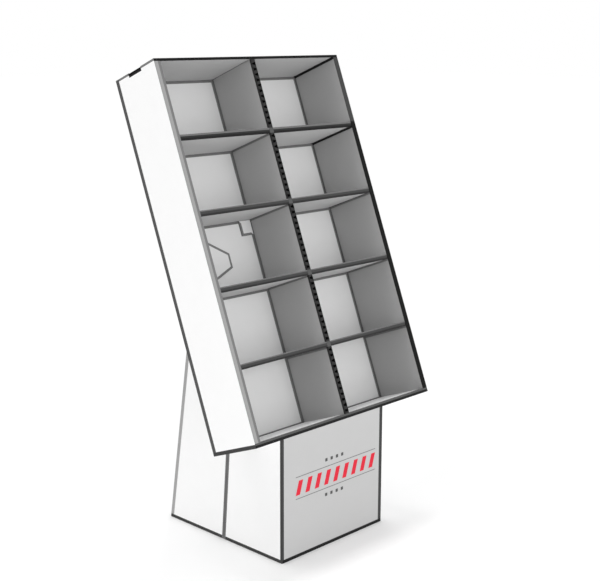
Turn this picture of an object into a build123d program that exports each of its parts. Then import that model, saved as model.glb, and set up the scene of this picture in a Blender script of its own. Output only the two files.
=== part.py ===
"""Cardboard display stand.

A leaning tray of two columns and five rows of open cells rests in the cut-out sides of a narrower,
tapering base. All sizes are in millimetres. X runs across the stand, Y from front to back and Z up.
The origin is on the floor, below the middle of the whole stand.
"""
import os
from math import atan2, cos, degrees, radians, sin, tan

from build123d import *

os.makedirs("parts", exist_ok=True)

# Boards
board = 4.0  # board of the base and the tray
heavy_board = 14.0  # board of the divider and the shelves
heavy_liner = 1.2  # facing paper of the heavy board
fold_radius = 3.0  # outside radius of a folded edge
rim_radius = 1.5  # inside edge of the rolled rim
crease_width = 3.0
crease_depth = 0.8
fit = 0.3  # clearance of a piece beside what holds it

# Tray
tray_width = 676.0
tray_height = 1006.0
tray_depth = 173.0
tray_lean = 21.26  # degrees that the tray leans back
side_wall = 18.5  # double side wall, measured across its rolled front edge
floor_wall = 12.0  # double floor wall
panel_slit = 1.0  # the inner panels stop this short of the back
notch_length = 54.0  # notch in the top edge of each side
notch_height = 7.0

# Divider and shelves
rows = 5
top_row_extra = 9.0  # the top row is this much higher than the others
front_inset = 1.0  # how far their front edges lie behind the tray's
end_tab = 30.0  # width of a tab at the end of a board
tab_margin = 26.0  # from the ends of the cell's depth to the first tab
flute_step = 15.2  # from one open flute to the next
flute_wide = 9.6  # a flute's two parallel sides
flute_narrow = 3.8

# Base
base_width = 400.0
base_depth = 458.0
front_panel_height = 349.0
back_lean = 9.31  # degrees that the back panel leans forward
overhang = 51.5  # of the tray in front of the base
bottom_flap = 150.0
glue_flap = 35.0
brace_flange = 60.0

# Locks between the base and the tray's back
lock_flap_reach = 85.0
lock_flap_root = 125.0
lock_flap_tip = 40.0
lock_flap_height = 498.0  # middle of its root, above the tray's lower edge
lock_flap_drop = 9.0  # how far its tip's middle lies below its root's
lock_tab_width = 41.0
lock_tab_length = 42.0
lock_tab_gap = 3.0  # between a lock tab and the divider

# Places that follow from the sizes
lean_cos = cos(radians(tray_lean))
lean_sin = sin(radians(tray_lean))
back_slope = tan(radians(back_lean))
back_inset = board / cos(radians(back_lean))  # the back panel's thickness, measured level
edge_y = -(tray_depth * lean_cos + tray_height * lean_sin) / 2
edge_z = front_panel_height + overhang * lean_sin / lean_cos
front_y = edge_y + overhang
back_y = front_y + base_depth
middle_y = front_y + base_depth / 2
half_base = base_width / 2

top_wall = 2 * board  # one fold pressed flat
inner_width = tray_width - 2 * side_wall
cell_depth = tray_depth - board
row_height = (tray_height - floor_wall - top_wall - top_row_extra - (rows - 1) * heavy_board) / rows
lap_depth = (front_inset + cell_depth - fit) / 2
tab_depths = (tab_margin, cell_depth - tab_margin - end_tab)

# The tray's front: local x runs across, local y up the lean and local z out towards the viewer
tray_front = Plane(origin=(0, edge_y, edge_z), x_dir=(1, 0, 0), z_dir=(0, -lean_cos, lean_sin))
depth_axis = Axis((0, 0, 0), (0, lean_cos, -lean_sin))


def shelf_height(number):
    """Underside of a shelf above the tray's lower edge, with shelf 1 at the top."""
    return floor_wall + (rows - number) * row_height + (rows - 1 - number) * heavy_board


def back_meets(depth, inset=0.0):
    """Height in the tray at which the base's back panel reaches a depth of the tray."""
    level = back_y - inset - edge_y - depth * lean_cos
    return (level - (edge_z - depth * lean_sin) * back_slope) / (lean_sin + lean_cos * back_slope)


def tray_point(height, depth):
    """Y and Z of a point of the tray."""
    return (
        edge_y + height * lean_sin + depth * lean_cos,
        edge_z + height * lean_cos - depth * lean_sin,
    )


def leaning_strip(foot_y, width, slope, low, high):
    """Corners in Y and Z of a strip that stands on the floor and leans forward."""
    return (
        (foot_y - slope * low, low),
        (foot_y - slope * high, high),
        (foot_y + width - slope * high, high),
        (foot_y + width - slope * low, low),
    )


def side_piece(x_start, thickness, corners, mode=Mode.ADD):
    """A flat piece that stands parallel to the base's sides, added to the piece being built."""
    with BuildSketch(Plane.YZ.offset(x_start)) as outline:
        with BuildLine():
            Polyline(*corners, close=True)
        make_face()
    extrude(outline.sketch, amount=thickness, mode=mode)


def tray_block(across, heights, depths, mode=Mode.ADD):
    """A block in the tray's directions: x limits, heights up the lean, depths from the front."""
    with BuildSketch(tray_front.offset(-depths[0])) as face:
        with Locations(((across[0] + across[1]) / 2, (heights[0] + heights[1]) / 2)):
            Rectangle(across[1] - across[0], heights[1] - heights[0])
    extrude(face.sketch, amount=depths[0] - depths[1], mode=mode)


def clear_tray():
    """Cut the tray's place out of the piece being built."""
    tray_block((-tray_width, tray_width), (0, 2 * tray_height), (-tray_height, tray_depth), Mode.SUBTRACT)


# Where the back panel ends at the tray, and a blank height that clears it
lock_line = back_meets(tray_depth)
blank_height = tray_point(lock_line, tray_depth)[1] + 10 * board

# The lock tabs fold down from here
tab_fold = back_meets(cell_depth - board)
tab_slot = (back_meets(tray_depth, back_inset) - fit, back_meets(cell_depth) + fit)
tab_inner = heavy_board / 2 + lock_tab_gap
tab_spans = (
    (-tab_inner - lock_tab_width, -tab_inner),
    (tab_inner, tab_inner + lock_tab_width),
)
flap_root = (lock_flap_height - lock_flap_root / 2, lock_flap_height + lock_flap_root / 2)
tip_middle = lock_flap_height - lock_flap_drop
flap_tip = (tip_middle - lock_flap_tip / 2, tip_middle + lock_flap_tip / 2)
flap_depths = (cell_depth - board, cell_depth)

# Base: one folded sheet
with BuildPart() as base_sleeve:
    # the outside of the tube, with its four standing folds
    side_piece(
        -half_base,
        base_width,
        (
            (front_y, 0),
            (front_y, blank_height),
            (back_y - back_slope * blank_height, blank_height),
            (back_y, 0),
        ),
    )
    standing = base_sleeve.edges().filter_by(Axis.X, reverse=True).filter_by(Axis.Y, reverse=True)
    fillet(standing, fold_radius)
    # its inside
    side_piece(
        board - half_base,
        base_width - 2 * board,
        (
            (front_y + board, -board),
            (front_y + board, blank_height + board),
            (back_y - back_inset - back_slope * (blank_height + board), blank_height + board),
            (back_y - back_inset + back_slope * board, -board),
        ),
        Mode.SUBTRACT,
    )
    # the bottom flaps, folded in from the front and back panels
    with BuildSketch() as flaps:
        flap_width = base_width - 2 * (board + fit)
        with Locations((0, front_y + (board + bottom_flap) / 2)):
            Rectangle(flap_width, bottom_flap - board)
        with Locations((0, back_y - (board + bottom_flap) / 2)):
            Rectangle(flap_width, bottom_flap - board)
    extrude(flaps.sketch, amount=board)
    # the glue flap, folded round from the back panel onto the left side
    side_piece(
        board - half_base,
        board,
        leaning_strip(back_y - back_inset - glue_flap, glue_flap, back_slope, board, blank_height),
    )
    # the crease half way back in each side
    for side in (-1, 1):
        side_piece(
            side * half_base,
            -side * crease_depth,
            leaning_strip(middle_y - crease_width / 2, crease_width, back_slope / 2, -board, blank_height),
            Mode.SUBTRACT,
        )
    clear_tray()
    # the half-hexagon lock flap: through the tray's back, then folded against it
    tray_block(
        (-half_base, board - half_base),
        flap_root,
        (cell_depth - board, tray_depth + board),
    )
    with BuildSketch(tray_front.offset(-flap_depths[0])) as flap:
        with BuildLine():
            Polyline(
                (-half_base, flap_root[0]),
                (lock_flap_reach - half_base, flap_tip[0]),
                (lock_flap_reach - half_base, flap_tip[1]),
                (-half_base, flap_root[1]),
                close=True,
            )
        make_face()
    extrude(flap.sketch, amount=-board)
    # the square lock tabs: the back panel goes on through the tray's back and folds down
    for span in tab_spans:
        side_piece(
            span[0],
            span[1] - span[0],
            (
                tray_point(back_meets(tray_depth + board), tray_depth + board),
                tray_point(tab_fold, cell_depth - board),
                tray_point(back_meets(cell_depth - board, back_inset), cell_depth - board),
                tray_point(back_meets(tray_depth + board, back_inset), tray_depth + board),
            ),
        )
        tray_block(span, (tab_fold - lock_tab_length, tab_fold), (cell_depth - board, cell_depth))
base_sleeve.part.label = "base_sleeve"

# Brace inside the base: a web from crease to crease with a flange along each side
brace_half = half_base - board - fit
with BuildPart() as base_brace:
    side_piece(
        -brace_half,
        2 * brace_half,
        leaning_strip(middle_y - board / 2, board, back_slope / 2, 0, blank_height),
    )
    for side in (-1, 1):
        side_piece(
            side * brace_half,
            -side * board,
            leaning_strip(
                middle_y + board / 2 - brace_flange, brace_flange, back_slope / 2, 0, blank_height
            ),
        )
    clear_tray()
base_brace.part.label = "base_brace"

# Tray: one folded sheet with rolled walls
half_tray = tray_width / 2
half_inner = inner_width / 2
with BuildPart() as tray_shell:
    tray_block((-half_tray, half_tray), (0, tray_height), (0, tray_depth))
    fillet(tray_shell.edges().filter_by(depth_axis, reverse=True), fold_radius)
    # the open front
    tray_block(
        (-half_inner, half_inner),
        (floor_wall, tray_height - top_wall),
        (-board, cell_depth),
        Mode.SUBTRACT,
    )
    fillet(tray_shell.faces().sort_by(depth_axis)[0].inner_wires().edges(), rim_radius)
    # the hollow between the two panels of each side
    for side in (-1, 1):
        hollow = sorted((side * (half_inner + board), side * (half_tray - board)))
        tray_block(hollow, (board, tray_height - top_wall), (board, cell_depth), Mode.SUBTRACT)
        slit = sorted((side * half_inner, side * (half_inner + board)))
        slit_depths = (cell_depth - panel_slit, cell_depth)
        tray_block(slit, (floor_wall, tray_height - top_wall), slit_depths, Mode.SUBTRACT)
    # the hollow of the floor wall
    across = (-half_inner - board, half_inner + board)
    tray_block(across, (board, floor_wall - board), (board, cell_depth), Mode.SUBTRACT)
    tray_block(
        (-half_inner, half_inner),
        (floor_wall - board, floor_wall),
        (cell_depth - panel_slit, cell_depth),
        Mode.SUBTRACT,
    )
    # slots for the tabs of the shelves and of the divider
    for start in tab_depths:
        depths = (start - fit, start + end_tab + fit)
        for number in range(1, rows):
            heights = (shelf_height(number) - fit, shelf_height(number) + heavy_board + fit)
            for side in (-1, 1):
                slot = sorted((side * half_inner, side * (half_inner + board)))
                tray_block(slot, heights, depths, Mode.SUBTRACT)
        slot = (-heavy_board / 2 - fit, heavy_board / 2 + fit)
        tray_block(slot, (floor_wall - board, floor_wall), depths, Mode.SUBTRACT)
        ceiling = tray_height - top_wall
        tray_block(slot, (ceiling, ceiling + board), depths, Mode.SUBTRACT)
    # slots in the back for the base's locks
    tray_block(
        (-half_base - fit, board - half_base + fit),
        (flap_root[0] - fit, flap_root[1] + fit),
        (cell_depth - board, tray_depth + board),
        Mode.SUBTRACT,
    )
    for span in tab_spans:
        tray_block(
            (span[0] - fit, span[1] + fit),
            tab_slot,
            (cell_depth - board, tray_depth + board),
            Mode.SUBTRACT,
        )
    # the notch in the top edge of each side
    notch_depths = (tray_depth / 2 - notch_length / 2, tray_depth / 2 + notch_length / 2)
    for side in (-1, 1):
        notch = sorted((side * (half_tray - board), side * (half_tray + board)))
        tray_block(notch, (tray_height - notch_height, tray_height + board), notch_depths, Mode.SUBTRACT)
tray_shell.part.label = "tray_shell"

# Divider: heavy board with its flutes open to the front
half_heavy = heavy_board / 2
flute_width = heavy_board - 2 * heavy_liner
flute_angle = degrees(atan2(flute_width, (flute_wide - flute_narrow) / 2))
flutes = int(row_height / flute_step)
with BuildPart() as divider:
    low = floor_wall
    high = tray_height - top_wall - fit
    tray_block((-half_heavy, half_heavy), (low, high), (front_inset, cell_depth - fit))
    for start in tab_depths:
        depths = (start, start + end_tab)
        tray_block((-half_heavy, half_heavy), (low - board, high + board), depths)
    with BuildSketch(tray_front) as cells:
        for row in range(rows):
            row_middle = floor_wall + row_height / 2 + row * (row_height + heavy_board)
            if row == rows - 1:
                row_middle += top_row_extra / 2
            for flute in range(flutes):
                height = row_middle + (flute - (flutes - 1) / 2) * flute_step
                with Locations((0, height)):
                    turn = 90 if flute % 2 else -90
                    Trapezoid(flute_wide, flute_width, flute_angle, rotation=turn)
    extrude(cells.sketch, amount=-tray_depth, mode=Mode.SUBTRACT)
    for number in range(1, rows):
        heights = (shelf_height(number) - fit, shelf_height(number) + heavy_board + fit)
        tray_block((-heavy_board, heavy_board), heights, (lap_depth, tray_depth), Mode.SUBTRACT)
divider.part.label = "divider"

# Shelves: heavy board, slotted from the front round the divider
shelves = []
for number in range(1, rows):
    with BuildPart() as shelf:
        heights = (shelf_height(number), shelf_height(number) + heavy_board)
        half_shelf = half_inner - fit
        tray_block((-half_shelf, half_shelf), heights, (front_inset, cell_depth - fit))
        for start in tab_depths:
            half_tabs = half_shelf + board
            tray_block((-half_tabs, half_tabs), heights, (start, start + end_tab))
        slot = (-half_heavy - fit, half_heavy + fit)
        tray_block(slot, heights, (-board, lap_depth + fit), Mode.SUBTRACT)
    shelf.part.label = f"shelf_{number}"
    shelves.append(shelf)

for piece in (base_sleeve, base_brace, tray_shell, divider, *shelves):
    export_step(piece.part, f"parts/{piece.part.label}.step")
    print(piece.part.label, len(piece.part.solids()), round(piece.part.volume / 1000), "cm3")
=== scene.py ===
# %% [markdown]
# # A cardboard display stand
#
# The stand is a leaning tray of ten open cells that rests in the cut-out sides of a narrower base. All
# of it is corrugated board, so nearly every surface is flat. What makes it read as the real thing is
# small: dark lines painted as shade along the folds, edges and inner corners, the raw edges, grey
# shade painted inside the cells, under the shelves and on the base's front, and the flutes under the
# paper. This lesson dresses a finished CAD model of the stand.
# The model is loaded first and never moves, and every length in this file is in metres.

# %% Load the fixed frame
from math import cos, pi, radians, sin, tan

import bmesh
import bpy
from mathutils import Matrix, Vector


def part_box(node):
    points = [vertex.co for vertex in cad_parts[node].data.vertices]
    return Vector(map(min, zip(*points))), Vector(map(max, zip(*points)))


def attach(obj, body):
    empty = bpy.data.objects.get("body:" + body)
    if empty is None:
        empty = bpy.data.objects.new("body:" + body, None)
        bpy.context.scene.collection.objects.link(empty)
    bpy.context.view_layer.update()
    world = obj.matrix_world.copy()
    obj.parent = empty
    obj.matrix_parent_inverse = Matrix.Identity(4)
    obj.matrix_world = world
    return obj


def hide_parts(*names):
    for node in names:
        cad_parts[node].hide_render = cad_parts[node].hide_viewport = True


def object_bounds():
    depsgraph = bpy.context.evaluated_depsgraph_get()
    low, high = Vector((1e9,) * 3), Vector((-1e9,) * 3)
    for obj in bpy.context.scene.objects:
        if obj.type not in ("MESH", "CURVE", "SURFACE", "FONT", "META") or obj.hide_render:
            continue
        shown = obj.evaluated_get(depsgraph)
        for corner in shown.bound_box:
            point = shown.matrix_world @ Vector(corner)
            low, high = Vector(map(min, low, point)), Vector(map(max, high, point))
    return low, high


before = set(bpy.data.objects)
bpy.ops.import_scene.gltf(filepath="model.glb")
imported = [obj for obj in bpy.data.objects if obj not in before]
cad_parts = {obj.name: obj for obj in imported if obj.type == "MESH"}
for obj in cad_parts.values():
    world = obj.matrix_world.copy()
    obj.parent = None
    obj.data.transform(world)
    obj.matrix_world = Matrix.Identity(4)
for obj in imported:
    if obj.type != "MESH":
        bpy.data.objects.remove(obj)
cad_low, cad_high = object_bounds()
print("the stand measures", [round(v, 4) for v in cad_high - cad_low])

# %% [markdown]
# The camera comes first, because every later choice is judged through it. The view is the one from
# which such a stand is usually drawn: from the front left, a little above its top, with a long lens
# that keeps the upright edges nearly parallel. The place, yaw and pitch were found by fitting the
# corners of the tray and the base, so the lens and the distance belong together.

# %% Camera
LENS_MM = 71.64
CAMERA_PLACE = Vector((-2.2589, -2.2845, 1.3731))
YAW = radians(-45.705)
PITCH = radians(-12.266)
ROLL = radians(0.097)

camera = bpy.data.objects.new("camera", bpy.data.cameras.new("camera"))
camera.data.lens = LENS_MM
aim = Matrix.Rotation(YAW, 4, "Z") @ Matrix.Rotation(pi / 2 + PITCH, 4, "X")
camera.matrix_world = Matrix.Translation(CAMERA_PLACE) @ (aim @ Matrix.Rotation(ROLL, 4, "Z"))
bpy.context.scene.collection.objects.link(camera)
bpy.context.scene.camera = camera
print("the camera is", round(CAMERA_PLACE.length, 2), "m from the stand's foot")

# %% [markdown]
# Board has a matt face, so it needs no highlights. It needs a soft light that shows each face at about
# its own colour, and a pale sky gives that from all round. The background has to be plain white, and a
# sky that bright would wash out the board. So the sky is only white to the rays that look straight at
# it, or meet it through a mirror or glass, and a little dimmer to the rays that light the stand.

# %% The sky
SKY_STRENGTH = 0.82
BACKGROUND_STRENGTH = 1.0


def maths(tree, operation, *values):
    """A Math node whose inputs are sockets or numbers."""
    node = tree.nodes.new("ShaderNodeMath")
    node.operation = operation
    for socket, value in zip(node.inputs, values):
        if isinstance(value, (int, float)):
            socket.default_value = value
        else:
            tree.links.new(value, socket)
    return node.outputs[0]


def make_sky():
    world = bpy.data.worlds.new("pale sky")
    bpy.context.scene.world = world
    world.use_nodes = True
    tree = world.node_tree
    sky = tree.nodes["Background"]
    sky.inputs["Color"].default_value = (1, 1, 1, 1)
    path = tree.nodes.new("ShaderNodeLightPath")
    seen = maths(tree, "MAXIMUM", path.outputs["Is Camera Ray"], path.outputs["Is Glossy Ray"])
    seen = maths(tree, "MAXIMUM", seen, path.outputs["Is Transmission Ray"])
    strength = maths(tree, "MULTIPLY_ADD", seen, BACKGROUND_STRENGTH - SKY_STRENGTH, SKY_STRENGTH)
    tree.links.new(strength, sky.inputs["Strength"])


make_sky()
bpy.context.scene.view_settings.view_transform = "Standard"
print("the sky lights at", SKY_STRENGTH, "and shows at", BACKGROUND_STRENGTH)

# %% [markdown]
# The floor is a wide pale sheet that carries the stand's shadow. Its own colour is a little under
# white, so that the lamps bring the open floor up to the white of the background and leave the shadow
# darker.

# %% The floor
FLOOR_PALE = 0.93
FLOOR_SIZE = 60.0


def make_floor():
    material = bpy.data.materials.new("studio floor")
    material.use_nodes = True
    sheet = material.node_tree.nodes["Principled BSDF"]
    sheet.inputs["Base Color"].default_value = (FLOOR_PALE, FLOOR_PALE, FLOOR_PALE, 1)
    sheet.inputs["Roughness"].default_value = 1.0
    sheet.inputs["Specular IOR Level"].default_value = 0.0
    bm = bmesh.new()
    bmesh.ops.create_grid(bm, x_segments=1, y_segments=1, size=FLOOR_SIZE / 2)
    mesh = bpy.data.meshes.new("studio_floor")
    bm.to_mesh(mesh)
    bm.free()
    mesh.materials.append(material)
    floor = bpy.data.objects.new("studio_floor", mesh)
    bpy.context.scene.collection.objects.link(floor)


make_floor()
print("the floor is", FLOOR_SIZE, "m wide")

# %% [markdown]
# One wide lamp stands in front, a little to the left and with its middle as high as the stand, so that
# it reaches the backs of the deep cells. Three weak suns hang above, side by side and a little behind
# the stand. Their shadows overlap at its foot in front and fade to the sides, as under a long softbox.
# A sun lights the same from any distance, so its place only keeps the three apart in the viewport.

# %% The lamps
FRONT_SIZE = 2.6
FRONT_WATTS = 44.0
FRONT_PLACE = Vector((-0.4, -3.8, 1.3))
TOP_STRENGTH = 0.3
TOP_SOFTNESS = radians(14)
TOP_TILTS = (radians(-24), 0, radians(24))
TOP_BACK = radians(8)
TOP_HEIGHT = 3.0


def add_lamp(data, place, turned):
    lamp = bpy.data.objects.new(data.name, data)
    lamp.location = place
    lamp.rotation_euler = turned
    bpy.context.scene.collection.objects.link(lamp)


front_lamp = bpy.data.lights.new("front lamp", "AREA")
front_lamp.size = FRONT_SIZE
front_lamp.energy = FRONT_WATTS
front_aim = Vector((0, 0, cad_high.z / 2)) - FRONT_PLACE
add_lamp(front_lamp, FRONT_PLACE, front_aim.to_track_quat("-Z", "Y").to_euler())
for tilt in TOP_TILTS:
    top_lamp = bpy.data.lights.new("top lamp", "SUN")
    top_lamp.angle = TOP_SOFTNESS
    top_lamp.energy = TOP_STRENGTH
    add_lamp(top_lamp, (-TOP_HEIGHT * sin(tilt), 0, TOP_HEIGHT), (-TOP_BACK, tilt, 0))
print("a front lamp of", FRONT_WATTS, "W and", len(TOP_TILTS), "suns of", TOP_STRENGTH)

# %% [markdown]
# The tray leans, and that would make every cut and every measure on it slanted. So its pieces are
# worked in the tray's own directions: x across, y into the depth of the cells and z up the lean, with
# the zero at the middle of the lower front edge. One matrix takes a mesh there and its inverse brings
# it back. Sizes are read from the frame's boxes wherever those give them.

# %% The tray's own directions
LEAN = radians(21.26)
TRAY_HEIGHT = 1.006
TRAY_DEPTH = 0.173
OVERHANG = 0.0515
FRONT_PANEL_HEIGHT = 0.349
BOARD = 0.004
HEAVY_BOARD = 0.014
FLOOR_WALL = 0.012
SHELF_FIT = 0.0003
ACROSS, DEEP, UP = 0, 1, 2

base_low, base_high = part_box("base_sleeve")
half_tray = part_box("tray_shell")[1].x
half_base = base_high.x
half_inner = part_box("shelf_1")[1].x - BOARD + SHELF_FIT
half_divider = HEAVY_BOARD / 2
front_y = base_low.y
back_y = base_high.y
cell_depth = TRAY_DEPTH - BOARD
ceiling_height = TRAY_HEIGHT - 2 * BOARD
tray_corner = Vector((0, front_y - OVERHANG, FRONT_PANEL_HEIGHT + OVERHANG * tan(LEAN)))
in_place = Matrix.Identity(4)
from_tray = Matrix.Translation(tray_corner) @ Matrix.Rotation(-LEAN, 4, "X")
to_tray = from_tray.inverted()


def shelf_base(number):
    """How far up the tray a shelf's underside lies."""
    low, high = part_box(f"shelf_{number}")
    rise = high.z - low.z - HEAVY_BOARD * cos(LEAN)
    return (to_tray @ Vector((0, low.y, low.z + rise))).z


shelf_numbers = [4, 3, 2, 1]
shelf_bases = [shelf_base(number) for number in shelf_numbers]
cell_floors = [FLOOR_WALL] + [v + HEAVY_BOARD for v in shelf_bases]
cell_ceilings = shelf_bases + [ceiling_height]
print("the shelves start at", [round(v, 4) for v in shelf_bases])

# %% [markdown]
# Every surface here is paper, so one recipe serves them all, and only the tone and the flutes change.
# Paper is never one flat colour: a coarse noise clouds it slightly, and a fine one gives it its fibres.
# An image could do the same, but a noise has no seams and no edges. Tones are easiest to choose as
# screen values from 0 to 255, while a shader works with amounts of light, so a small function turns the
# one into the other.

# %% The colour of paper
SCREEN_WHITE = 255
CURVE_START = 0.04045
CURVE_SLOPE = 12.92
CURVE_OFFSET = 0.055
CURVE_POWER = 2.4
CLOUD_SCALE = 28.0
CLOUD_DETAIL = 3
FIBRE_SCALE = 900.0
FIBRE_DETAIL = 4
CLOUD_SHARE = 0.015
FIBRE_SHARE = 0.02


def light(value):
    """The light of a screen value from 0 to 255, by the curve that screens use."""
    share = value / SCREEN_WHITE
    if share <= CURVE_START:
        return share / CURVE_SLOPE
    return ((share + CURVE_OFFSET) / (1 + CURVE_OFFSET)) ** CURVE_POWER


def noise(tree, place, scale, detail):
    """A noise on the given coordinates."""
    node = tree.nodes.new("ShaderNodeTexNoise")
    node.inputs["Scale"].default_value = scale
    node.inputs["Detail"].default_value = detail
    tree.links.new(place, node.inputs["Vector"])
    return node.outputs["Fac"]


def clouded(tree, tone, cloud, fibre):
    """A grey tone, or a colour of three tones, that two noises make a little lighter and darker."""
    shade = maths(tree, "MULTIPLY_ADD", cloud, 2 * CLOUD_SHARE, 1 - CLOUD_SHARE - FIBRE_SHARE)
    shade = maths(tree, "MULTIPLY_ADD", fibre, 2 * FIBRE_SHARE, shade)
    mix = tree.nodes.new("ShaderNodeMix")
    mix.data_type = "RGBA"
    mix.blend_type = "MULTIPLY"
    mix.inputs["Factor"].default_value = 1
    red, green, blue = tone if isinstance(tone, tuple) else (tone, tone, tone)
    mix.inputs["A"].default_value = (light(red), light(green), light(blue), 1)
    tree.links.new(shade, mix.inputs["B"])
    return mix.outputs["Result"]


print("screen value 128 is", round(light(128), 3), "of the light of white")

# %% [markdown]
# Under the paper of corrugated board runs a wave of stiffer paper. Its crests press through as faint
# parallel ribs. Modelled ribs would take many thousands of faces to show a tenth of a millimetre, so a
# sine of the object's coordinates gives them as a bump. The ribs of the tray's sheets lean with it, so
# their coordinates are turned first.

# %% A sheet of paper
FLUTE_PITCH = 0.0075
HEAVY_PITCH = 0.0152
RIB_HEIGHT = 0.00009
FIBRE_HEIGHT = 0.00003
BUMP_STRENGTH = 0.6
PAPER_ROUGHNESS = 0.85
PAPER_SHEEN = 0.2


def relief(tree, place, fibre, ribs_across, pitch):
    """The bump of the fibres and, where the paper lies on flutes, of their ribs."""
    height = maths(tree, "MULTIPLY", fibre, FIBRE_HEIGHT)
    if ribs_across is not None:
        split = tree.nodes.new("ShaderNodeSeparateXYZ")
        tree.links.new(place, split.inputs[0])
        angle = maths(tree, "MULTIPLY", split.outputs[ribs_across], 2 * pi / pitch)
        height = maths(tree, "MULTIPLY_ADD", maths(tree, "SINE", angle), RIB_HEIGHT / 2, height)
    bump = tree.nodes.new("ShaderNodeBump")
    bump.inputs["Distance"].default_value = 1.0
    bump.inputs["Strength"].default_value = BUMP_STRENGTH
    tree.links.new(height, bump.inputs["Height"])
    return bump.outputs[0]


def paper(name, tone, ribs_across=None, pitch=FLUTE_PITCH, leaning=False):
    """A sheet of paper on board. ribs_across is the axis that the flutes' ribs repeat along."""
    material = bpy.data.materials.new(name)
    material.use_nodes = True
    tree = material.node_tree
    shader = tree.nodes["Principled BSDF"]
    shader.inputs["Roughness"].default_value = PAPER_ROUGHNESS
    shader.inputs["Specular IOR Level"].default_value = PAPER_SHEEN
    mapping = tree.nodes.new("ShaderNodeMapping")
    mapping.inputs["Rotation"].default_value = (LEAN if leaning else 0, 0, 0)
    coordinates = tree.nodes.new("ShaderNodeTexCoord")
    tree.links.new(coordinates.outputs["Object"], mapping.inputs["Vector"])
    place = mapping.outputs[0]
    cloud = noise(tree, place, CLOUD_SCALE, CLOUD_DETAIL)
    fibre = noise(tree, place, FIBRE_SCALE, FIBRE_DETAIL)
    tree.links.new(clouded(tree, tone, cloud, fibre), shader.inputs["Base Color"])
    tree.links.new(relief(tree, place, fibre, ribs_across, pitch), shader.inputs["Normal"])
    return material


print("the ribs are", 1000 * FLUTE_PITCH, "mm apart, and", 1000 * HEAVY_PITCH, "mm on heavy board")

# %% [markdown]
# Now the papers get their tones. The outside is nearly white. The inside of the cells is painted grey
# as shade: lightest on the backs, darker on the sides, the ceilings and the shelves' undersides. The
# dark lines along folds, rims, corners and edges are a ladder of darker greys, mostly painted shade,
# beside the real dark cut edges of the board. Each place on the stand takes the rung that suits it:
# where a line is thin or well lit, it needs a darker one to look the same from a few steps away. A
# table of names keeps the tones in one place, where they are easy to compare.

# %% The papers by name
FINISHES = {
    "tray_side": paper("white paper on the tray's sides", 251, DEEP, leaning=True),
    "tray_back": paper("white paper on the tray's back", 250, ACROSS, leaning=True),
    "base_side": paper("white paper on the base's sides", 251, DEEP),
    "base_back": paper("white paper on the base's back", 250, ACROSS),
    # The base's front panel is the same white board as its sides, painted grey as shade.
    "base_front_painted_shade": paper("painted grey shade on the base's front panel", 187, ACROSS),
    # The cells are white board inside. Their backs, sides and ceilings are painted grey as shade.
    "cell_back_painted_shade": paper("painted light grey shade on the cells' backs", 228, ACROSS, leaning=True),
    "cell_side_painted_shade": paper("painted grey shade on the cells' sides", 166, DEEP, leaning=True),
    "divider_side_painted_shade": paper("painted grey shade on the divider's sides", 169, UP, HEAVY_PITCH, leaning=True),
    "cell_ceiling": paper("painted grey shade under the tray's top", 171, DEEP, leaning=True),
    "shelf_under_painted_shade": paper("painted grey shade under a shelf", 182, DEEP, HEAVY_PITCH, leaning=True),
    "cell_floor": paper("white floor of the cells", 254, DEEP, leaning=True),
    # The rims are white board rolled over, painted grey and black as shade.
    "rim_outer_painted_shade": paper("rolled rim, outer fold, painted grey shade", 152),
    "rim_middle_painted_shade": paper("rolled rim, middle, painted grey shade", 152),
    "rim_inner_painted_shade": paper("rolled rim, inner fold, painted darker shade", 116),
    "rim_black_painted_shade": paper("rim painted black as shade", 10),
    # Board edges: the dark cut edge of the board, with the same tones also painted as shade on rims and
    # in strips beside edges. The pale one is painted light along a shelf's upper edge.
    "edge_painted_light": paper("board edge painted pale as light", 108),
    "edge_and_shade_grey": paper("grey board edge and painted shade", 82),
    "edge_and_shade_mid": paper("board edge", 64),
    "edge_and_shade_dark": paper("dark board edge and painted shade", 44),
    # Dark lines painted as shade along folds, edges, inner corners and the foot.
    "shade_line_pale": paper("pale painted shade line", 164),
    "shade_line_light": paper("light painted shade line", 122),
    "corner_painted_shade": paper("painted shade in a cell's inner corner", 118),
    "shade_line_mid": paper("score", 112),
    "shade_line_grey": paper("grey painted shade line", 84),
    "shade_line_dark": paper("dark painted shade line", 64),
    "shade_line_black": paper("black painted shade line", 28),
    # Painted black as shade inside the flutes, the notches and the hollow walls.
    "hollow_painted_shade": paper("painted black shade inside a hollow", 4),
    "plain_board": paper("plain grey board", 150, ACROSS),
    "print_red": paper("red printing ink", (214, 44, 62)),
    "print_grey": paper("grey printing ink", 120),
    "print_dark": paper("dark printing ink", 84),
}
print(len(FINISHES), "papers")

# %% [markdown]
# The folds and cuts of the real sheets are already true in the CAD model. So a piece starts as a merged
# copy of its CAD node, which is loose triangles until its doubles are joined and its flat faces are
# dissolved into whole ones. Bisecting the copy along planes marks out the strips that take the dark
# lines painted as shade along folds, edges and corners, and each stretch between two cuts then takes
# its own paper. These cuts are called scores below. The alternative, drawing the lines in a texture,
# would blur at the folds.

# %% Copy and score a sheet
MERGE = 1e-5
SNAP = MERGE / 10
FLAT_ANGLE = radians(0.3)


def merged_copy(node, matrix):
    """A merged copy of a CAD node's mesh, taken into other directions."""
    bm = bmesh.new()
    bm.from_mesh(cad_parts[node].data)
    bm.transform(matrix)
    bmesh.ops.remove_doubles(bm, verts=bm.verts, dist=MERGE)
    bmesh.ops.dissolve_limit(bm, angle_limit=FLAT_ANGLE, verts=bm.verts, edges=bm.edges)
    return bm


def score_plane(bm, point, normal):
    """Cut the sheet along a plane."""
    everything = bm.verts[:] + bm.edges[:] + bm.faces[:]
    bmesh.ops.bisect_plane(bm, geom=everything, dist=SNAP, plane_co=point, plane_no=normal)


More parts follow.
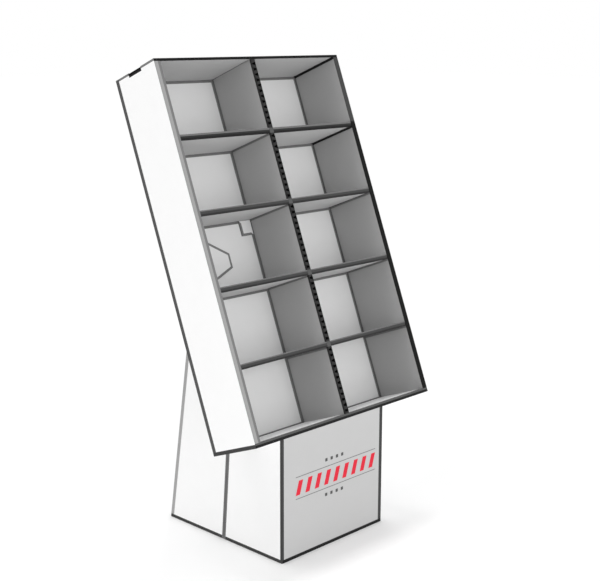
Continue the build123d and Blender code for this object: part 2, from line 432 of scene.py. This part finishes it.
def score(bm, axis, places):
    """Cut the sheet at places along an axis."""
    normal = Vector([int(other == axis) for other in (ACROSS, DEEP, UP)])
    for place in places:
        score_plane(bm, place * normal, normal)


def both_ways(places):
    """The places on the left and on the right of the stand's middle."""
    return [sign * place for place in places for sign in (-1, 1)]


print("corners closer than", 1000 * MERGE, "mm are merged")

# %% [markdown]
# A face of the scored sheet is told by two things: where its middle is and which way it looks. Its
# number in the mesh would be shorter to write, but the numbers change with every cut.

# %% Paint a sheet and put it in place
FLAT = 0.99
TOUCH = 0.0002


def in_strip(value, places, width):
    """Whether a value lies in a strip of a signed width that starts at one of some places."""
    return any(0 < (value - place) / width < 1 for place in places)


def facing(normal):
    """The axis and the sign of a flat face's normal, or None on a rounded fold."""
    for axis in (ACROSS, DEEP, UP):
        if abs(normal[axis]) > FLAT:
            return axis, 1 if normal[axis] > 0 else -1
    return None


def finish_piece(bm, name, finish_at, nodes, matrix):
    """Paint the mesh by finish_at(face), put it in its place and make it a piece of the stand."""
    bm.normal_update()
    finishes = []
    for face in bm.faces:
        face.smooth = False
        finish = finish_at(face)
        if finish not in finishes:
            finishes.append(finish)
        face.material_index = finishes.index(finish)
    bm.transform(matrix)
    mesh = bpy.data.meshes.new(name)
    bm.to_mesh(mesh)
    bm.free()
    for finish in finishes:
        mesh.materials.append(FINISHES[finish])
    piece = bpy.data.objects.new(name, mesh)
    bpy.context.scene.collection.objects.link(piece)
    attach(piece, "root")
    if nodes:
        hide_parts(*nodes)
    print(name, "has", len(mesh.polygons), "faces and", len(finishes), "finishes")
    return piece


print("a face within", 1000 * TOUCH, "mm of a plane counts as on it")

# %% [markdown]
# The tray is one sheet of white board, with double walls that roll over at the front. Its inside is
# painted grey as shade. On the left the rolled rim shows as a pale strip between two folds, painted
# grey as shade and darker at the inner fold. The other rims are painted dark as the shade of their
# shadow side, and only beside the top row is the right one a little greyer. The functions read like a
# plan of the sheet: they ask where a face is and name its paper.

# %% The tray's rims
RIM_OUTER = 0.005
RIM_INNER = 0.009
LOW_RIM = 0.0072


def rim_finish(x, up):
    """The front of the tray's walls, painted grey and black as shade."""
    if up > ceiling_height:
        return "rim_black_painted_shade"
    if up < LOW_RIM:
        return "shade_line_black"
    if up < FLOOR_WALL - TOUCH:
        return "edge_and_shade_grey"
    if x < -half_inner + TOUCH:
        if x > -half_inner - RIM_INNER:
            return "rim_inner_painted_shade"
        return "rim_outer_painted_shade" if x < -half_tray + RIM_OUTER else "rim_middle_painted_shade"
    if x > half_inner - TOUCH:
        return "edge_and_shade_mid" if up > cell_floors[-1] else "rim_black_painted_shade"
    return "edge_and_shade_grey"


print("the left rim has strips of", 1000 * RIM_OUTER, "and", 1000 * RIM_INNER, "mm at its folds")

# %% [markdown]
# The outside is white, with a dark line painted as shade along each fold and edge. The lines that are
# seen at a slant are made wider, so that all of them look alike. The top edge of each side has a
# shallow notch. It is a real cut in the CAD model, with a black strip of painted shade under it.

# %% The tray's outside
SIDE_LINE = 0.0145
LINE = 0.010
TOP_LINE = 0.006
NOTCH_HEIGHT = 0.007
NOTCH_HALF = 0.027
NOTCH_EDGE = 0.005


def near_notch(deep):
    """Whether a place lies along one of the notches in the tray's top edges."""
    return abs(deep - TRAY_DEPTH / 2) < NOTCH_HALF + TOUCH


def outside_finish(middle, way):
    """The outside of the tray."""
    x, deep, up = middle
    if way == (DEEP, -1):
        return rim_finish(x, up)
    if way[0] == ACROSS:
        if up < LINE:
            return "shade_line_dark"
        if deep > TRAY_DEPTH - SIDE_LINE:
            return "shade_line_grey"
        # A black strip of painted shade under each notch.
        under_notch = up > TRAY_HEIGHT - NOTCH_HEIGHT - NOTCH_EDGE and near_notch(deep)
        if under_notch:
            return "shade_line_black"
        return "shade_line_light" if up > TRAY_HEIGHT - TOP_LINE else "tray_side"
    near_edge = abs(x) > half_tray - LINE
    if way == (DEEP, 1):
        return "shade_line_dark" if near_edge or up < LINE or up > TRAY_HEIGHT - LINE else "tray_back"
    if deep < LINE:
        return "shade_line_black"
    return "shade_line_dark" if near_edge or deep > TRAY_DEPTH - LINE else "tray_back"


def in_notch(middle):
    """Whether a face is inside a notch."""
    x, deep, up = middle
    in_panel = half_tray - BOARD - TOUCH < abs(x) < half_tray - TOUCH
    return in_panel and up > TRAY_HEIGHT - NOTCH_HEIGHT - TOUCH and near_notch(deep)


print("the tray's outlines are", 1000 * LINE, "to", 1000 * SIDE_LINE, "mm wide")

# %% [markdown]
# Inside, each cell is painted as shade: a light grey back, grey sides and a grey ceiling, and dark
# lines of painted shade where two sheets meet and light doesn't reach. The floor stays white, but for
# a painted shade line at its front and back. The ceiling's painted shade line along the right wall is
# the darkest. The shelves' undersides are ceilings too, so they share that function.

# %% The tray's cells
CORNER_LINE = 0.0065
THIN_LINE = 0.005
FLOOR_LINE = 0.0035
WALL_LINE = 0.009
FLOOR_FOLD = 0.022


def cell_finish(middle, way):
    """The inside of the cells."""
    x, deep, up = middle
    if way == (DEEP, -1):
        beside_wall = abs(x) > half_inner - CORNER_LINE or abs(x) < half_divider + CORNER_LINE
        if in_strip(up, cell_ceilings[1:], -CORNER_LINE) or beside_wall:
            return "corner_painted_shade"
        return "shade_line_light" if FLOOR_WALL < up < FLOOR_WALL + FLOOR_LINE else "cell_back_painted_shade"
    near_back = deep > cell_depth - THIN_LINE
    if way[0] == ACROSS:
        # A black line of painted shade under the ceiling on the right wall, darker painted shade in
        # corners.
        if x > half_inner - TOUCH and in_strip(up, cell_ceilings[-2:], -THIN_LINE):
            return "shade_line_black"
        return "corner_painted_shade" if near_back or in_strip(up, cell_ceilings, -THIN_LINE) else "cell_side_painted_shade"
    if way == (UP, -1):
        return ceiling_finish(x, near_back, "cell_ceiling")
    return "shade_line_light" if near_back or deep < FLOOR_FOLD else "cell_floor"


def ceiling_finish(x, near_back, plain):
    """A cell's ceiling, with its painted shade lines along the back, the divider and the walls."""
    if x > half_inner - WALL_LINE:
        return "shade_line_black"
    if near_back or abs(x) > half_inner - THIN_LINE or abs(x) < half_divider + THIN_LINE:
        return "corner_painted_shade"
    return plain


print("a cell is", round(half_inner - half_divider, 4), "m wide and", round(cell_depth, 4), "m deep")

# %% [markdown]
# With the rules for its rims, outside and cells, the tray can be made. One rule sorts its faces among
# the three, and whatever is left over is inside a hollow wall, where it is painted black as shade, as
# is the inside of each notch. The scores are cut first, at every height, depth and width where a paper
# changes.

# %% The tray
def tray_finish(face):
    middle = face.calc_center_median()
    x, deep, up = middle
    way = facing(face.normal)
    if in_notch(middle):
        return "hollow_painted_shade"
    if way is None:
        return rim_finish(x, up) if deep < TRAY_DEPTH / 2 else "shade_line_dark"
    in_cells = abs(x) < half_inner + TOUCH and FLOOR_WALL - TOUCH < up < ceiling_height + TOUCH
    if in_cells and TOUCH < deep < cell_depth + TOUCH:
        return cell_finish(middle, way)
    on_outside = abs(x) > half_tray - TOUCH or not TOUCH < deep < TRAY_DEPTH - TOUCH
    if on_outside or not TOUCH < up < TRAY_HEIGHT - TOUCH:
        return outside_finish(middle, way)
    # Inside a hollow wall: painted black as shade.
    return "hollow_painted_shade"


def make_tray():
    bm = merged_copy("tray_shell", to_tray)
    walls = (half_inner - CORNER_LINE, half_inner - THIN_LINE, half_inner, half_inner + RIM_INNER)
    score(bm, ACROSS, [half_inner - WALL_LINE])
    score(bm, ACROSS, both_ways(walls + (half_tray - RIM_OUTER, half_tray - LINE)))
    score(bm, ACROSS, both_ways((half_divider + CORNER_LINE, half_divider + THIN_LINE)))
    score(bm, DEEP, (LINE, FLOOR_FOLD, cell_depth - THIN_LINE))
    score(bm, DEEP, (TRAY_DEPTH - SIDE_LINE, TRAY_DEPTH - LINE))
    score(bm, DEEP, (TRAY_DEPTH / 2 - NOTCH_HALF, TRAY_DEPTH / 2 + NOTCH_HALF))
    score(bm, UP, [TRAY_HEIGHT - NOTCH_HEIGHT - NOTCH_EDGE])
    score(bm, UP, (LOW_RIM, LINE, FLOOR_WALL, ceiling_height))
    score(bm, UP, (TRAY_HEIGHT - TOP_LINE, TRAY_HEIGHT - LINE))
    score(bm, UP, [v - width for v in cell_ceilings for width in (CORNER_LINE, THIN_LINE)] + shelf_bases)
    score(bm, UP, [FLOOR_WALL + FLOOR_LINE] + cell_floors[1:])
    return finish_piece(bm, "tray", tray_finish, ["tray_shell"], from_tray)


make_tray()

# %% [markdown]
# The shelves are of much heavier white board. The upper face stays white and the lower one is painted
# grey as shade. A shelf's front edge is cut along its flutes, so it shows no openings, only the dark
# core between two papers. Above the core the edge is painted paler as light and below it darker as
# shade, and a strip of painted shade runs along the front of both faces. The top shelf is seen most
# nearly from its own level, so its pale strip is wider and its core and lower strip are darker.

# %% The shelves
EDGE_FRONT = 0.0015
UPPER_LINE = 0.003
LOWER_LINE = 0.0045
TOP_SHELF_PALE = 0.005
SHELF_EDGE_SHADE = 0.010


def make_shelf(number, base):
    top_shelf = number == 1
    upper_line = TOP_SHELF_PALE if top_shelf else UPPER_LINE
    core = "edge_and_shade_dark" if top_shelf else "edge_and_shade_mid"
    lower = "shade_line_black" if top_shelf else "edge_and_shade_dark"

    def shelf_finish(face):
        x, deep, up = face.calc_center_median()
        way = facing(face.normal)
        near_back = deep > cell_depth - THIN_LINE
        # The front edge: a pale strip painted as light over the dark cut core, and a strip painted as
        # shade below.
        if way == (DEEP, -1) and deep < EDGE_FRONT:
            if up > base + HEAVY_BOARD - upper_line:
                return "edge_painted_light"
            return core if up > base + LOWER_LINE else lower
        if way == (UP, -1):
            return lower if deep < SHELF_EDGE_SHADE else ceiling_finish(x, near_back, "shelf_under_painted_shade")
        if way == (UP, 1):
            return "shade_line_light" if deep < SHELF_EDGE_SHADE else "cell_floor"
        return "edge_and_shade_mid"

    bm = merged_copy(f"shelf_{number}", to_tray)
    lines = (half_inner - THIN_LINE, half_inner - WALL_LINE, half_divider + THIN_LINE)
    score(bm, ACROSS, both_ways(lines))
    score(bm, DEEP, (SHELF_EDGE_SHADE, cell_depth - THIN_LINE))
    score(bm, UP, (base + LOWER_LINE, base + HEAVY_BOARD - upper_line))
    nodes = [f"shelf_{number}"]
    return finish_piece(bm, f"shelf_board_{number}", shelf_finish, nodes, from_tray)


for number, base in zip(shelf_numbers, shelf_bases):
    make_shelf(number, base)

# %% [markdown]
# The divider stands the other way: its flutes run from front to back, and their open ends make the row
# of black holes down the middle of the stand. The holes are real in the CAD model. Only the papers are
# chosen here: a dark cut edge with a dark strip painted as shade beside it, black painted inside the
# flutes as the shade where no light reaches, and faces painted grey as shade. At the crossings the
# shelf's slot shows a paler end of the board.

# %% The divider
DIVIDER_SHADE_STRIP = 0.007


def divider_finish(face):
    x, deep, up = face.calc_center_median()
    way = facing(face.normal)
    if way == (DEEP, -1) and deep < EDGE_FRONT:
        return "edge_and_shade_grey" if in_strip(up, shelf_bases, HEAVY_BOARD) else "edge_and_shade_dark"
    if way is not None and way[0] == ACROSS and abs(x) > half_divider - TOUCH:
        # A dark strip painted as shade beside the front edge, then the sides' painted grey shade.
        if deep < DIVIDER_SHADE_STRIP:
            return "edge_and_shade_dark"
        at_corner = deep > cell_depth - THIN_LINE or in_strip(up, cell_ceilings, -THIN_LINE)
        return "corner_painted_shade" if at_corner else "divider_side_painted_shade"
    # Inside the flutes: painted black as shade.
    return "hollow_painted_shade"


def make_divider():
    bm = merged_copy("divider", to_tray)
    score(bm, DEEP, (DIVIDER_SHADE_STRIP, cell_depth - THIN_LINE))
    score(bm, UP, cell_floors[1:] + shelf_bases + [v - THIN_LINE for v in cell_ceilings])
    return finish_piece(bm, "divider_board", divider_finish, ["divider"], from_tray)


make_divider()

# %% [markdown]
# The base's sheet locks the tray: a half-hexagon flap and two square tabs come through the tray's back
# and lie against it inside the cells. Their faces take the same painted grey shade as the backs of the
# cells. An inset along their outlines carries a dark line painted as shade, by which they are seen. A
# tab hangs from a fold under the shelf and lies close to the divider, so only its lower and its outer
# edge are drawn. The tabs are told from the flap by how near the middle of the stand they are.

# %% The locks
FLAP_LINE = 0.0065
TAB_REACH = 0.060


def on_lock(face):
    """Whether a face belongs to the lock flap or a lock tab, inside the cells."""
    deep, up = (to_tray @ face.calc_center_median()).yz
    return cell_depth - BOARD - TOUCH < deep < cell_depth + TOUCH and 0 < up < TRAY_HEIGHT


def edge_finish(strip, plates):
    """The painted shade line at the flap's or a tab's edge. A tab's fold and its side at the divider
    stay plain.
    """
    plate = next(other for edge in strip.edges for other in edge.link_faces if other in plates)
    start = to_tray @ plate.calc_center_median()
    end = to_tray @ strip.calc_center_median()
    at_fold = end.z > start.z + FLAP_LINE
    at_divider = abs(end.x) < abs(start.x) - FLAP_LINE
    is_tab = abs(start.x) < TAB_REACH
    return "cell_back_painted_shade" if is_tab and (at_fold or at_divider) else "shade_line_light"


print("the locks have a drawn edge of", 1000 * FLAP_LINE, "mm")

# %% [markdown]
# The rest of the base is a folded tube of white board with one crease half way along each side, and a
# back panel that leans forward as it rises. Its front panel is painted grey as the shade of a face
# turned from the light, and dark lines are painted as shade along the crease, the folds and the foot.
# The crease and the rear fold lean, so they are cut along leaning planes, and the rule measures how
# far a face is from them at its own height.

# %% The base
CREASE_HALF = 0.0073
FRONT_FOLD = 0.007
GROUND_LINE = 0.0095
FOLD_RADIUS = 0.003
REARWARD = 0.5
BACK_LEAN = radians(9.31)
back_slope = tan(BACK_LEAN)
middle_y = (front_y + back_y) / 2


def base_finish(face):
    x, y, z = face.calc_center_median()
    way = facing(face.normal)
    from_rear = back_y - back_slope * z - y
    from_crease = abs(middle_y - back_slope / 2 * z - y)
    at_corner = abs(x) > half_base - FOLD_RADIUS - TOUCH
    if abs(x) > half_base - FOLD_RADIUS / 2 and from_crease < CREASE_HALF:
        return "shade_line_mid"
    if way is None and at_corner and y < front_y + FOLD_RADIUS + TOUCH:
        return "shade_line_dark"
    # The front: painted shade lines at the foot and at both folds, and painted grey shade on the panel.
    if way == (DEEP, -1) and y < front_y + TOUCH:
        if z < GROUND_LINE:
            return "shade_line_black"
        if x < FRONT_FOLD - half_base:
            return "shade_line_dark"
        return "edge_and_shade_mid" if x > half_base - SIDE_LINE else "base_front_painted_shade"
    # The sides: white, with painted shade lines at the foot, the front fold and the rear edge.
    if way is not None and way[0] == ACROSS and abs(x) > half_base - TOUCH:
        if z < GROUND_LINE or y < front_y + FRONT_FOLD:
            return "shade_line_dark"
        return "shade_line_pale" if from_rear < SIDE_LINE else "base_side"
    if from_rear < FOLD_RADIUS + TOUCH and at_corner:
        return "shade_line_pale"
    if from_rear < TOUCH and face.normal.y > REARWARD:
        near_edge = abs(x) > half_base - LINE or z < GROUND_LINE
        return "shade_line_dark" if near_edge else "base_back"
    return "plain_board"


def make_base():
    bm = merged_copy("base_sleeve", in_place)
    score(bm, ACROSS, (FRONT_FOLD - half_base, LINE - half_base))
    score(bm, ACROSS, (half_base - LINE, half_base - SIDE_LINE))
    score(bm, DEEP, [front_y + FRONT_FOLD])
    score(bm, UP, [GROUND_LINE])
    score_plane(bm, Vector((0, back_y - SIDE_LINE, 0)), Vector((0, 1, back_slope)).normalized())
    for place in (middle_y - CREASE_HALF, middle_y + CREASE_HALF):
        score_plane(bm, Vector((0, place, 0)), Vector((0, 1, back_slope / 2)).normalized())
    bm.normal_update()
    turn = to_tray.to_3x3()
    fronts = [face for face in bm.faces if on_lock(face) and (turn @ face.normal).y < -FLAT]
    inset = bmesh.ops.inset_region(bm, faces=fronts, thickness=FLAP_LINE, use_even_offset=True)
    strips = set(inset["faces"])
    plates = set(fronts)

    def finish_at(face):
        # The lock plates take the cells' painted grey shade, and their inset strips a painted shade
        # line.
        if face in plates:
            return "cell_back_painted_shade"
        if face in strips:
            return edge_finish(face, plates)
        return "shade_line_mid" if on_lock(face) else base_finish(face)

    return finish_piece(bm, "base", finish_at, ["base_sleeve"], in_place)


make_base()

# %% [markdown]
# The brace inside the base is plain board, seen only from below. Its CAD shape is right, so it stays,
# and it only gets its paper.

# %% The brace
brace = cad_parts["base_brace"]
brace.data.materials.clear()
brace.data.materials.append(FINISHES["plain_board"])
for face in brace.data.polygons:
    face.material_index = 0
print("the brace has", len(brace.data.polygons), "faces")

# %% [markdown]
# The front panel of the base is where a shop puts its own sign. This stand holds a plain pattern there:
# a row of slanted red bars between two thin rules, with a few small marks above and below. Ink has
# almost no thickness, so each shape is a flat plate a tenth of a millimetre proud of the board.

# %% The front print
INK = 0.0001
RULE = 0.0022
RULE_HEIGHTS = (0.1645, 0.2255)
RULE_LEFT, RULE_RIGHT = -0.149, 0.169
BARS = 9
BAR_LOW, BAR_HIGH = 0.1755, 0.2155
BAR_WIDTH = 0.016
BAR_SLANT = 0.012
MARKS = 4
MARK = 0.009
MARK_PITCH = 0.021
MARK_HEIGHTS = (0.1425, 0.2415)


def print_shape(bm, inks, finish, left, width, low, high, slant=0.0):
    """A flat shape of ink on the front panel, whose upper edge may be shifted sideways."""
    before = set(bm.faces)
    corners = ((left, low), (left + width, low), (left + width + slant, high), (left + slant, high))
    outline = bm.faces.new([bm.verts.new((x, front_y - INK, z)) for x, z in corners])
    copies = bmesh.ops.extrude_face_region(bm, geom=[outline])["geom"]
    depth = [item for item in copies if isinstance(item, bmesh.types.BMVert)]
    bmesh.ops.translate(bm, verts=depth, vec=(0, INK, 0))
    for face in set(bm.faces) - before:
        inks[face] = finish


def make_print():
    bm = bmesh.new()
    inks = {}
    for low in RULE_HEIGHTS:
        print_shape(bm, inks, "print_grey", RULE_LEFT, RULE_RIGHT - RULE_LEFT, low, low + RULE)
    pitch = (RULE_RIGHT - RULE_LEFT - BAR_WIDTH - BAR_SLANT) / (BARS - 1)
    for bar in range(BARS):
        left = RULE_LEFT + bar * pitch
        print_shape(bm, inks, "print_red", left, BAR_WIDTH, BAR_LOW, BAR_HIGH, BAR_SLANT)
    for low in MARK_HEIGHTS:
        for mark in range(MARKS):
            left = (mark - (MARKS - 1) / 2) * MARK_PITCH - MARK / 2
            print_shape(bm, inks, "print_dark", left, MARK, low, low + MARK)
    bmesh.ops.recalc_face_normals(bm, faces=bm.faces)
    return finish_piece(bm, "front_print", inks.get, [], in_place)


make_print()
